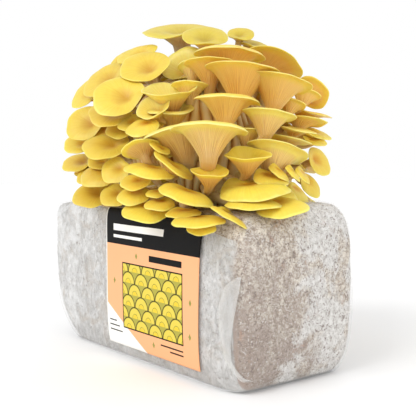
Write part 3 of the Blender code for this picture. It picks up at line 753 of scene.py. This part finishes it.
# node (mushroom_ goes before all but the young ones), seen at u and v (px), towards (mm),
# radius (mm), lean (deg from upright), bearing (deg: 0 leans to the viewer, 90 to the
# right), form
SEEN = [
    # young caps low on the right, which the large ones leave room for
    ("young_right_3", 280, 170, 92, 9.5, 36, 70, "pillow"),
    ("young_right_3", 294, 171, 82, 8.0, 44, 75, "pillow"),
    ("young_right_3", 304, 173, 72, 8.5, 46, 70, "pillow"),
    # the large caps in the middle, seen from below their rims
    ("centre_1", 209, 121, 95, 28.5, 15, 178, "lip"),
    ("centre_2", 178, 124, 64, 29.0, 20, -140, "lip"),
    ("centre_3", 266, 110, 75, 21.0, 14, 165, "fan"),
    ("centre_4", 273, 147, 66, 24.5, 25, 165, "fan"),
    ("centre_5", 289, 138, 56, 17.5, 12, 130, "plate"),
    ("centre_5", 297, 128, 44, 15.0, 8, 60, "plate"),
    ("middle_1", 170, 88, 56, 22.0, 14, -10, "funnel"),
    ("middle_1", 153, 106, 66, 14.0, 42, -30, "funnel"),
    ("middle_2", 182, 67, 24, 20.0, 62, -24, "fan"),
    ("middle_2", 196, 68, 26, 14.0, 30, 160, "fan"),
    # the crest
    ("top_1", 180, 30, -14, 31.5, 20, -9, "plate"),
    ("top_2", 205, 37, 22, 19.5, 33, 0, "plate"),
    ("top_3", 240, 35, -8, 12.0, 35, 0, "plate"),
    ("top_3", 252, 44, -14, 14.0, 24, 30, "plate"),
    # the upper right, gills outwards
    ("right_1", 225, 48, 26, 29.0, 12, 180, "lip"),
    ("right_2", 270, 64, -14, 27.5, 30, 150, "plate"),
    ("right_3", 209, 61, 41, 21.0, 14, -170, "fan"),
    ("right_4", 240, 66, 53, 30.0, 13, 170, "fan"),
    ("right_5", 275, 78, 50, 26.5, 17, 160, "fan"),
    ("right_6", 226, 93, 73, 25.0, 13, 175, "lip"),
    ("right_7", 311, 93, -12, 16.0, 60, 150, "plate"),
    ("right_7", 302, 92, 12, 13.5, 22, 165, "fan"),
    ("right_7", 290, 101, 34, 12.0, 24, 150, "fan"),
    ("right_8", 309, 112, 0, 18.5, 8, 100, "plate"),
    ("right_8", 304, 119, 22, 18.5, 14, 150, "plate"),
    ("young_right_1", 315, 131, 14, 14.0, 24, 50, "plate"),
    ("young_right_1", 314, 139, 26, 10.5, 24, 30, "plate"),
    ("young_right_2", 319, 160, 16, 14.0, 62, 45, "plate"),
    ("young_right_2", 311, 182, 26, 12.5, 52, 45, "pillow"),
    # the front, low funnels and drooping caps
    ("front_1", 247, 152, 96, 18.0, 12, -5, "funnel"),
    ("front_2", 210, 169, 106, 14.5, 14, 10, "funnel"),
    ("front_3", 175, 164, 90, 17.5, 36, 80, "plate"),
    ("front_3", 161, 147, 84, 8.5, 34, 62, "plate"),
    ("front_4", 152, 166, 84, 19.3, 12, 60, "pillow"),
    ("front_5", 142, 148, 72, 15.5, 34, -165, "plate"),
    ("front_5", 143, 124, 72, 13.5, 24, -20, "pillow"),
    ("front_6", 188, 190, 106, 20.3, 19, 76, "pillow"),
    ("front_6", 198, 217, 126, 18.7, 4, -20, "shelf"),
    ("front_6", 183, 210, 108, 13.0, 6, -20, "shelf"),
    ("front_6", 201, 225, 127, 10.5, 22, 0, "shelf"),
    ("front_7", 252, 183, 102, 26.0, 9, -35, "pillow"),
    ("front_7", 270, 175, 94, 13.5, 20, 20, "pillow"),
    ("front_10", 251, 199, 114, 20.5, 5, 0, "shelf"),
    ("front_10", 230, 213, 128, 15.2, 29, 90, "shelf"),
    ("front_9", 280, 203, 112, 19.5, 16, -25, "shelf"),
    ("front_12", 147, 207, 84, 18.0, 20, 5, "shelf"),
    ("front_13", 160, 201, 93, 11.5, 12, 0, "pillow"),
    ("front_13", 156, 191, 88, 7.5, 14, 0, "pillow"),
    ("front_14", 136, 180, 78, 12.0, 28, -15, "plate"),
    ("front_8", 134, 192, 76, 13.0, 24, -10, "pillow"),
    # the left side, tops outwards
    ("left_1", 138, 54, 4, 18.0, 34, -25, "plate"),
    ("left_1", 121, 60, -6, 11.0, 48, -44, "plate"),
    ("left_2", 146, 66, 30, 21.0, 44, -8, "plate"),
    ("left_3", 106, 78, 6, 22.0, 48, -38, "plate"),
    ("left_3", 88, 91, -10, 18.5, 54, -46, "plate"),
    ("left_4", 120, 95, 48, 21.5, 52, -8, "plate"),
    ("left_5", 114, 110, 36, 20.0, 38, -8, "plate"),
    ("left_6", 87, 122, 14, 18.0, 56, -16, "plate"),
    ("left_6", 80, 142, 2, 13.5, 40, -10, "plate"),
    ("left_7", 107, 144, 40, 19.5, 30, -5, "plate"),
    ("left_8", 79, 161, -4, 14.5, 30, -14, "plate"),
    ("left_8", 100, 161, 24, 10.0, 34, 10, "plate"),
    ("left_8", 93, 174, 12, 14.0, 30, -12, "plate"),
    ("left_9", 102, 170, 30, 18.0, 28, -8, "pillow"),
    ("left_9", 116, 169, 54, 12.5, 54, -15, "plate"),
    ("left_10", 93, 193, 14, 17.5, 34, -5, "plate"),
    ("left_10", 115, 194, 50, 12.5, 40, -5, "plate"),
]

# node, turn (deg round the dome from the viewer's side, 90 on the right),
# height and distance out from the dome's axis (mm), radius (mm), lean (deg)
BEHIND = [
    ("back_1", 104, 134, 97, 22.0, 30),
    ("back_1", 129, 148, 88, 23.0, 34),
    ("back_2", 154, 135, 96, 24.0, 32),
    ("back_2", 181, 148, 87, 23.0, 34),
    ("back_3", 207, 134, 97, 23.0, 32),
    ("back_3", 233, 147, 90, 23.0, 34),
    ("back_4", 112, 171, 92, 24.0, 38),
    ("back_4", 141, 184, 82, 26.0, 38),
    ("back_5", 169, 172, 93, 26.0, 42),
    ("back_5", 197, 185, 82, 26.0, 36),
    ("back_6", 225, 172, 93, 26.0, 42),
    ("back_6", 251, 183, 90, 21.0, 36),
    ("back_7", 122, 214, 70, 27.0, 36),
    ("back_7", 157, 220, 64, 28.0, 34),
    ("back_8", 193, 212, 71, 28.0, 38),
    ("back_8", 228, 219, 70, 26.0, 34),
    ("back_9", 148, 252, 38, 26.0, 22),
    ("back_9", 194, 247, 45, 26.0, 28),
    ("back_10", 237, 243, 56, 24.0, 30),
    ("back_11", 97, 195, 82, 17.0, 44),
]

# small caps that fill the gaps between those of the first table, given like them
BETWEEN = [
    ("middle_2", 191, 83, 44, 15.0, 14, 170, "fan"),
    ("middle_1", 173, 103, 52, 19.0, 12, -10, "fan"),
    ("centre_3", 247, 128, 66, 13.5, 12, 170, "fan"),
    ("right_8", 300, 133, 14, 14.0, 26, 120, "plate"),
    ("front_9", 284, 190, 84, 12.5, 30, 40, "pillow"),
    ("young_right_2", 299, 190, 50, 12.0, 40, 60, "pillow"),
    ("left_6", 106, 130, 18, 13.0, 40, -20, "plate"),
    ("left_8", 88, 168, -4, 12.0, 34, -20, "plate"),
    ("left_7", 122, 127, 36, 13.0, 42, -10, "plate"),
    ("left_5", 131, 122, 50, 10.5, 40, -10, "plate"),
]

# and small caps that fill the gaps between those of the second table
BETWEEN_BEHIND = [
    ("middle_1", 332, 176, 58, 14.0, 30),
    ("left_7", 318, 196, 58, 15.0, 34),
    ("left_9", 330, 156, 66, 13.0, 30),
    ("back_1", 116, 160, 86, 15.5, 36),
    ("back_2", 167, 158, 86, 15.5, 36),
    ("back_3", 220, 160, 86, 15.5, 36),
    ("back_4", 126, 200, 80, 15.5, 38),
    ("back_5", 183, 201, 78, 15.5, 38),
    ("back_6", 238, 200, 78, 15.5, 38),
    ("back_6", 264, 158, 88, 15.5, 36),
    ("back_7", 140, 236, 56, 15.5, 32),
    ("back_8", 210, 234, 58, 15.5, 32),
    ("back_10", 256, 216, 64, 15.5, 36),
    ("back_11", 86, 168, 84, 15.0, 40),
    ("back_11", 92, 224, 62, 14.0, 36),
]
Mushroom = namedtuple("Mushroom", "node seed centre axis radius form")


def seen_point(u, v, toward):
    """Where a point seen at pixel u, v lies, at a given distance towards the viewer."""
    reach = (EYE_DISTANCE - toward) / SIGHT_FOCAL
    across = (u - SIGHT_CENTRE) * reach + EYE_ACROSS
    return across * RIGHT + toward * TOWARD + (EYE_HEIGHT - (v - SIGHT_HORIZON) * reach) * UP


def leaning(lean, bearing):
    """Unit vector that leans from upright by lean degrees towards bearing."""
    tilt, turn = math.radians(lean), math.radians(bearing)
    flat = math.cos(turn) * TOWARD + math.sin(turn) * RIGHT
    return math.cos(tilt) * UP + math.sin(tilt) * flat


def list_mushrooms():
    """The four tables as one list of mushrooms, numbered in the order of growth."""
    grown = []

    def grow(short, centre, lean, bearing, radius, form):
        node = short if short.startswith("young") else "mushroom_" + short
        axis = leaning(lean, bearing)
        grown.append(Mushroom(node, len(grown), centre, axis, radius * MM, FORMS[form]))

    def seen(rows):
        for short, u, v, toward, radius, lean, bearing, form in rows:
            grow(short, seen_point(u, v, toward * MM), lean, bearing, radius, form)

    def behind(rows):
        for short, turn, height, out, radius, lean in rows:
            centre = CLUSTER_AXIS + out * MM * leaning(90, turn) + height * MM * UP
            grow(short, centre, lean, turn, radius, "plate")

    seen(SEEN)
    behind(BEHIND)
    seen(BETWEEN)
    behind(BETWEEN_BEHIND)
    return grown


def unit(vector):
    return vector / np.linalg.norm(vector, axis=-1, keepdims=True)


def waves(m, angle, table, shift=0):
    """Waves round a cap, each a count and a height, with phases that differ by mushroom."""
    by_cap, by_wave = PHASE_STEPS
    return sum(high * np.cos(k * angle + (m.seed * by_cap + (k + shift) * by_wave) % math.tau)
               for k, high in table)


def cap_sides(m):
    """Two directions in the cap's plane: towards the cluster's heart, and across that."""
    inward = CLUSTER_AXIS + BASE_HEART * UP - m.centre
    inward = unit(inward - m.axis * inward.dot(m.axis))
    return inward, np.cross(m.axis, inward)


def cap_place(m, share, angle, under):
    """Points of the cap, share of the way from throat to rim, on its top or under it.

    In the cap's own plane the outline is a circle with a few low waves. Height above that
    plane is the throat's sink, the rim's roll and the rim's waves, and the gill side lies
    lower by the flesh, which thins towards the rim and ends there in a round edge.
    """
    form = m.form
    inward, beside = cap_sides(m)
    lobes = waves(m, angle, LOBES)
    ruffle = waves(m, angle, RUFFLES, 9)
    frill = waves(m, angle, FRILLS, 20)
    inner = (0.5 - 0.5 * np.cos(angle)) ** 2
    outline = m.radius * (1 + lobes * share) * (1 - form.short * inner) / (1 - form.short / 4)
    eased = np.hypot(share, THROAT_SOFT) - THROAT_SOFT
    eased = eased / (math.hypot(1, THROAT_SOFT) - THROAT_SOFT)
    height = -form.depth * (1 - eased) ** form.steep + ruffle * share ** 2.5 + frill * share ** 6
    height = height - form.roll * (1 - inner) * share ** ROLL_POWER
    rim = RIM_THICK / m.radius * np.sqrt(np.maximum(1 - share ** RIM_ROUND, 0))
    height = height - under * (form.flare * (1 - share) ** FLESH_FADE + rim)
    inwards = form.aside * (1 - share) * m.radius - share * np.cos(angle) * outline
    sideways = -share * np.sin(angle) * outline
    return (m.centre + inwards[..., None] * inward + sideways[..., None] * beside
            + (height * m.radius)[..., None] * m.axis)


def stem_line(m, foot, t):
    """Middle and direction of the stem at t, 0 at the foot and 1 at the neck: a Bezier curve."""
    around = np.arange(8) / 8 * math.tau
    neck = cap_place(m, np.full(8, NECK), around, 1.0).mean(0)
    reach = neck - foot
    length = np.linalg.norm(reach)
    outward = reach / length
    bent = max(0.0, UPRIGHT_BELOW - m.axis.dot(outward))
    upright = min(UPRIGHT_MOST, m.form.rising * (1 + UPRIGHT_GAIN * bent))
    arriving = unit(upright * m.axis + (1 - upright) * outward)
    handles = np.array([foot, foot + outward * length * FOOT_HANDLE,
                        neck - arriving * length * NECK_HANDLE, neck])
    t = np.atleast_1d(t)[:, None]
    weights = np.hstack([(1 - t) ** 3, 3 * t * (1 - t) ** 2, 3 * t * t * (1 - t), t ** 3])
    return weights @ handles, unit(outward * (1 - t) + arriving * t)


def stem_foot(necks):
    """Where the stems of one node start: in the base, part of the way out to an oval round
    its heart, on the line to the mean of the necks. The line leaves the axis a little lower."""
    neck = np.mean(necks, axis=0)
    level = max(FOOT_LOWEST, min(BASE_HEART, neck[2] - STEM_RISE))
    heart = CLUSTER_AXIS + level * UP
    way = neck - heart
    shares = np.array([way.dot(RIGHT), way.dot(TOWARD), way[2]]) / HEART_REACH
    return heart + way * (FOOT_DEPTH / np.linalg.norm(shares))


def mushroom_grid(m, foot):
    """Rings of points up the stem, out under the gills, round the rim and in over the top,
    with the fields its finish reads. The gills are ridges that stand out along the skin's
    normals: every second one is long, the others start part of the way out."""
    rng = np.random.default_rng(m.seed + GILL_SEEDS)
    gills = max(LEAST_GILLS, round(math.tau * GILLS_ROUND * m.radius / GILL_GAP))
    columns = 4 * gills
    angle = np.arange(columns) / columns * math.tau
    stem_rings, gill_rings, top_rings = SMALL_RINGS if m.radius < SMALL_CAP else LARGE_RINGS
    t = np.linspace(0, 1, stem_rings, endpoint=False)
    quarter = np.linspace(0, np.pi / 2, gill_rings, endpoint=False)
    below = NECK + (1 - NECK) * np.sin(quarter)
    above = 1 - (1 - np.cos(np.linspace(0, np.pi / 2, top_rings))) * THROAT_CLOSED

    middle, along = stem_line(m, foot, t)
    beside = cap_sides(m)[1]
    cross = -unit(beside - along * (along @ beside)[:, None])
    spoke = np.cross(cross, along)
    girth = m.radius * (STEM + (NECK - STEM) * t ** 6 + STEM_SWELL * (1 - t) ** 3)
    tube = np.cos(angle)[None, :, None] * spoke[:, None]
    tube = tube + np.sin(angle)[None, :, None] * cross[:, None]
    tube = middle[:, None] + tube * girth[:, None, None]
    neck = cap_place(m, np.full(columns, NECK), angle, 1.0)
    arrival = (smooth_step(*STEM_BLEND, t) ** 2)[:, None, None]
    slim = (girth / (NECK * m.radius))[:, None, None]
    tube = tube * (1 - arrival) + arrival * (middle[:, None] + (neck - neck.mean(0)) * slim)

    under = cap_place(m, below[:, None], angle[None, :], 1.0)
    top = cap_place(m, above[:, None], angle[None, :], 0.0)
    grid = np.concatenate([tube, under, top])

    column = np.arange(columns) % 4
    long_gill = (column == 0) * rng.uniform(0.5, 1.0, columns)
    short_gill = (column == 2) * rng.uniform(0.5, 0.9, columns)
    starts = np.repeat(rng.uniform(*SHORT_FROM, gills), 4)
    share = np.concatenate([np.full(len(t), NECK), below, np.full(len(above), 1.0)])
    fade = np.concatenate([smooth_step(*STEM_BLEND, t), 1 - smooth_step(*GILL_FADE, below),
                           0 * above])
    ridge = long_gill + short_gill * smooth_step(starts, starts + SHORT_RISE, share[:, None])
    spacing = math.tau * share * m.radius / gills
    deep = np.minimum(GILL_DEEP, GILL_SHARE * spacing) * fade
    grid = grid + ring_normals(grid) * (ridge * deep[:, None])[..., None]

    profile = np.concatenate([t, 1 + (below - NECK) / (1 - NECK), 3 - above])
    profile = profile[:, None] + 0 * angle
    turn = np.stack([np.cos(angle) + 0 * profile, np.sin(angle) + 0 * profile, profile], -1)
    return grid, {"profile": profile, "ridge": ridge * fade[:, None], "spoke": turn,
                  "tone": np.full(profile.shape, rng.uniform(0, 1))}


def cap_finish(name, rim, cap, throat, gills, gill_shade, stem, margin=0.84):
    """Flesh of one kind of cap: coloured from the stem out to the rim and in to the throat.

    The place along that way is a third at the neck and two thirds at the rim. Pale streaks
    run along it, a thin pale band at the rim's edge is a painted highlight, the grooves
    between the gills are painted darker as shade, and the top has fine fibres and bruises.
    """
    finish = Finish(name, 0.42)
    profile = finish.attribute("profile")
    spoke = finish.attribute("spoke", "Vector")
    wide_spokes = finish.node("ShaderNodeMapping", in_0=spoke, in_3=(6, 6, 0.7))
    fine_spokes = finish.node("ShaderNodeMapping", in_0=spoke, in_3=(17, 17, 0.5))
    streak = finish.noise(wide_spokes, 1.0, 4, 0.65)
    line = finish.noise(fine_spokes, 1.0, 3, 0.6)
    blotch = finish.noise(finish.place(), 70, 3, 0.6)
    wander = finish.times(finish.minus(blotch, 0.5), 0.14)
    place = finish.maths("DIVIDE", finish.plus(profile, wander), 3)
    edge = (1 + (margin - NECK) / (1 - NECK)) / 3
    # the thin band of the rim colour at the rim's very edge is a painted highlight
    colour = finish.ramp(place, (0.0, stem), (0.31, stem), (0.39, gills), (edge - 0.06, gills),
                         (edge, cap), (0.655, cap), (0.667, rim), (0.685, cap), (0.83, cap),
                         (0.97, throat))
    colour = finish.mix(finish.ramp(streak, (0.40, 0.0), (0.75, 0.30)), colour, rim)
    # painted shade: the grooves between the gills, mixed with fine darker lines, take the shade
    # colour, most near the neck
    ridge = finish.attribute("ridge")
    groove_shade = finish.plus(finish.ramp(ridge, (0.0, 0.45), (0.5, 0.0)),
                         finish.ramp(line, (0.40, 0.35), (0.62, 0.0)))
    lined = finish.ramp(place, (0.24, 0.0), (0.34, 1.0), (0.42, 0.8), (0.52, 0.35), (edge, 0.0))
    groove_shade = finish.times(groove_shade, lined)
    colour = finish.mix(groove_shade, colour, gill_shade)
    fibre = finish.times(finish.ramp(line, (0.36, 0.30), (0.58, 0.0)),
                         finish.ramp(place, (0.67, 0.0), (0.74, 0.5), (1.0, 1.0)))
    colour = finish.mix(fibre, colour, throat)
    colour = finish.laid(colour, blotch, 0.50, 0.74, throat, 0.2)
    tone = finish.times(finish.attribute("tone"), 0.22)
    colour = finish.mix(tone, colour, throat, "MULTIPLY")
    finish.set(Base_Color=colour, Normal=finish.bump(streak, 0.0006, 0.35), Subsurface_Weight=0.35,
               Subsurface_Radius=(1.0, 0.7, 0.25), Subsurface_Scale=0.008)
    return finish.material


FLESH = {  # rim (its pale streaks, and a painted highlight at the edge), cap, throat, then gills, the painted shade in the grooves between them, stem
    "top": cap_finish("olive_caps", srgb(232, 214, 112), srgb(216, 196, 66), srgb(188, 160, 40),
                      srgb(232, 206, 150), srgb(204, 164, 104), srgb(238, 224, 202)),
    "left": cap_finish("lemon_caps", srgb(244, 222, 112), srgb(232, 206, 76), srgb(206, 156, 36),
                       srgb(230, 196, 110), srgb(194, 148, 70), srgb(234, 214, 172)),
    "centre": cap_finish("fan_caps", srgb(250, 242, 150), srgb(244, 224, 112), srgb(214, 164, 44),
                         srgb(246, 214, 130), srgb(196, 146, 72), srgb(238, 210, 152), 0.70),
    "front": cap_finish("bright_caps", srgb(250, 237, 124), srgb(240, 215, 80), srgb(216, 156, 24),
                        srgb(234, 196, 116), srgb(180, 128, 58), srgb(234, 208, 152)),
    "right": cap_finish("golden_caps", srgb(248, 232, 134), srgb(243, 214, 96), srgb(212, 156, 40),
                        srgb(250, 212, 118), srgb(210, 156, 74), srgb(240, 210, 146), 0.80),
}
FLESH["middle"] = FLESH["centre"]
FLESH["young"] = FLESH["front"]
FLESH["back"] = FLESH["left"]

# each node's first mushroom has the foot of the stem, and the others fork from it
nodes = {}
for m in list_mushrooms():
    nodes.setdefault(m.node, []).append(m)
for node, members in nodes.items():
    first = [m for m in members if m.seed < len(SEEN) + len(BEHIND)]
    foot = stem_foot([m.centre - m.axis * m.radius * NECK_GUESS for m in first])
    fork = stem_line(members[0], foot, FORK)[0][0]
    grown = [mushroom_grid(m, fork if k else foot) for k, m in enumerate(members)]
    fields = {key: [each[1][key] for each in grown] for key in grown[0][1]}
    piece = closed_skin(node + "_skin", [each[0] for each in grown], fields)
    group = node.split("_")[1] if node.startswith("mushroom") else "young"
    piece.data.materials.append(FLESH[group])
    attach(piece, "root")
    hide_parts(node)
